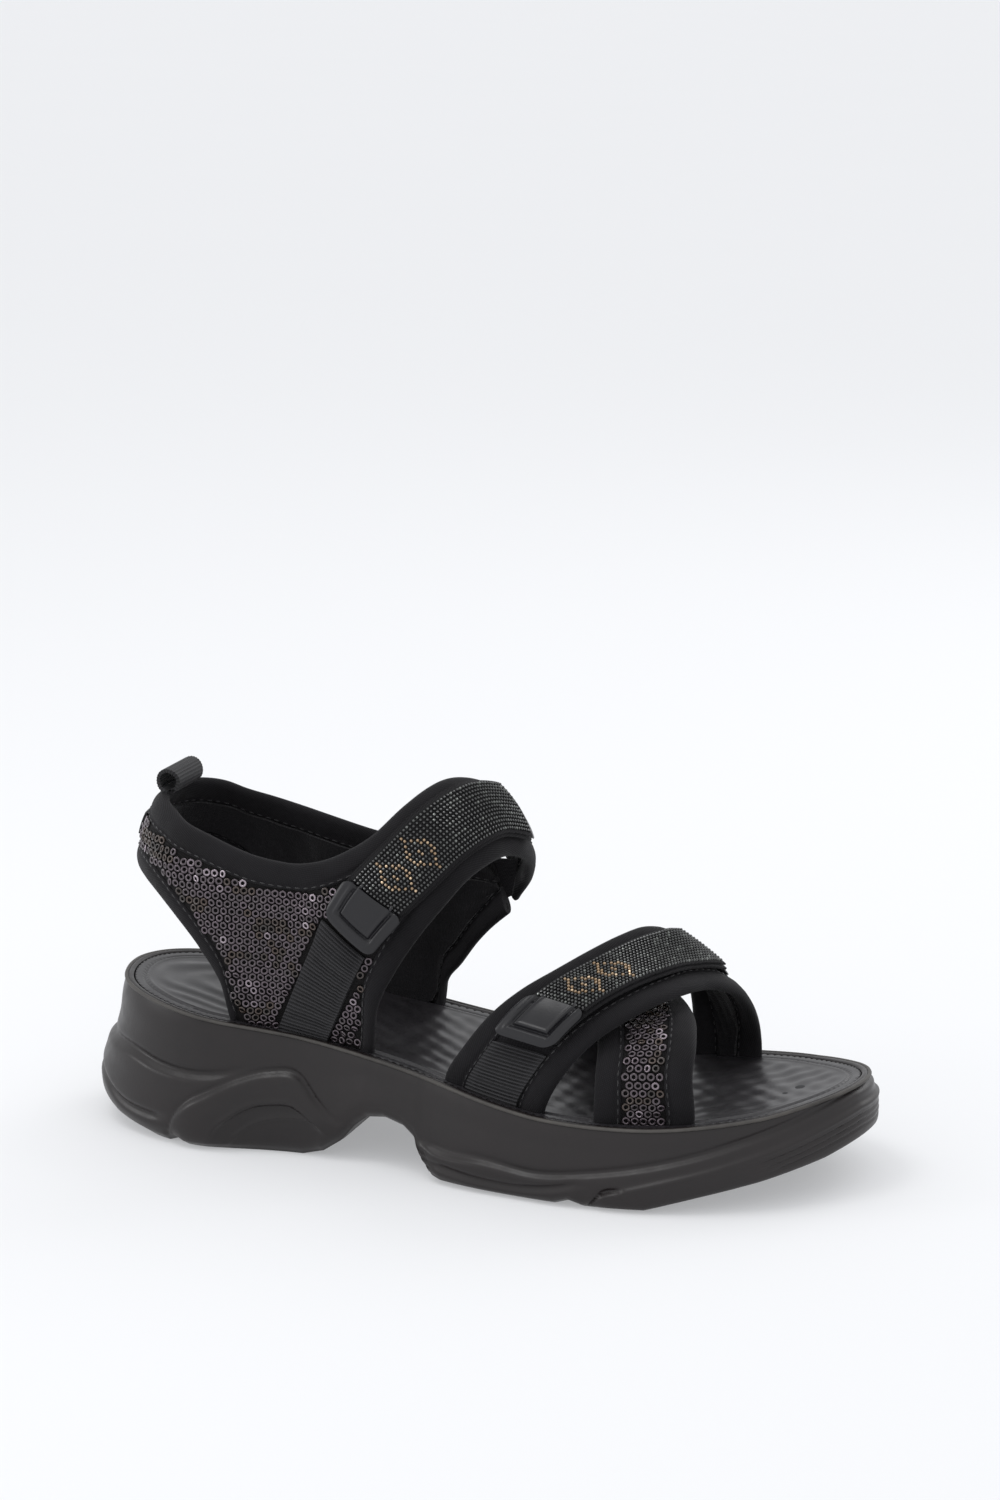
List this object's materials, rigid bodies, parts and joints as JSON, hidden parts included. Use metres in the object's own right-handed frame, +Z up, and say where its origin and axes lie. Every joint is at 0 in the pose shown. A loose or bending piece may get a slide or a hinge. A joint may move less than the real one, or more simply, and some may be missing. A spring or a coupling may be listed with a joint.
{
  "type": "strappy sport sandal",
  "caption": "Platform sport sandal with a crossed forefoot, a stretch heel upper and two hook-and-loop straps set with small stones.",
  "frame": {"origin": "middle of the sandal's bounding box in plan, on the ground", "axes": "+X to the toe, +Y to the inner (medial) side, +Z up"},
  "size_m": [0.2676, 0.0968, 0.1244],
  "materials": {
    "sole_rubber": "satin",
    "board": "matte",
    "foam": "matte",
    "footbed_skin": "satin, lightly wet-looking",
    "sequin_cloth": "glossy sequins on black net",
    "lining": "brushed matte",
    "binding": "matte stretch knit",
    "loop_pile": "looped pile",
    "hooks": "hook tape",
    "strap_base": "woven tape",
    "stone_mesh": "faceted black stones in cups",
    "tab_rubber": "satin",
    "webbing": "ribbed"
  },
  "bodies": {
    "shell": {"sole_unit": "sole_rubber", "insole_board": "board", "footbed_foam": "foam", "footbed_cover": "footbed_skin", "lateral_quarter": "sequin_cloth", "medial_quarter": "sequin_cloth", "lateral_lining": "lining", "medial_lining": "lining", "collar_binding": "binding", "heel_binding": "binding", "lateral_front_binding": "binding", "medial_front_binding": "binding", "heel_tape": "binding", "ankle_webbing": "webbing", "forefoot_webbing": "webbing", "forefoot_band": "binding", "forefoot_lining": "lining", "forefoot_front_binding": "binding", "forefoot_rear_binding": "binding", "cross_band": "sequin_cloth", "cross_lining": "lining", "cross_front_binding": "binding", "cross_rear_binding": "binding", "ankle_loop_patch": "loop_pile", "forefoot_loop_patch": "loop_pile", "ankle_end_tab": "tab_rubber", "forefoot_end_tab": "tab_rubber"},
    "ankle_strap_body": {"ankle_strap": "strap_base", "ankle_stone_mesh": "stone_mesh", "ankle_hook_patch": "hooks", "ankle_tab": "tab_rubber"},
    "forefoot_strap_body": {"forefoot_strap": "strap_base", "forefoot_stone_mesh": "stone_mesh", "forefoot_hook_patch": "hooks", "forefoot_tab": "tab_rubber"},
    "pull_loop_body": {"pull_loop": "binding"}
  },
  "joints": [
    {"name": "ankle_strap_peel", "type": "hinge", "parent": "shell", "child": "ankle_strap_body", "pos_m": [0.00746, 0.01764, 0.10907], "axis": [-0.5229, -0.066, 0.8498], "range_deg": [0, 100]},
    {"name": "forefoot_strap_peel", "type": "hinge", "parent": "shell", "child": "forefoot_strap_body", "pos_m": [0.07279, 0.01902, 0.06784], "axis": [-0.8037, -0.0753, 0.5903], "range_deg": [0, 100]},
    {"name": "pull_loop_tilt", "type": "hinge", "parent": "shell", "child": "pull_loop_body", "pos_m": [-0.10928, 0.00191, 0.11493], "axis": [0, 1, 0], "range_deg": [-30, 40]}
  ]
}
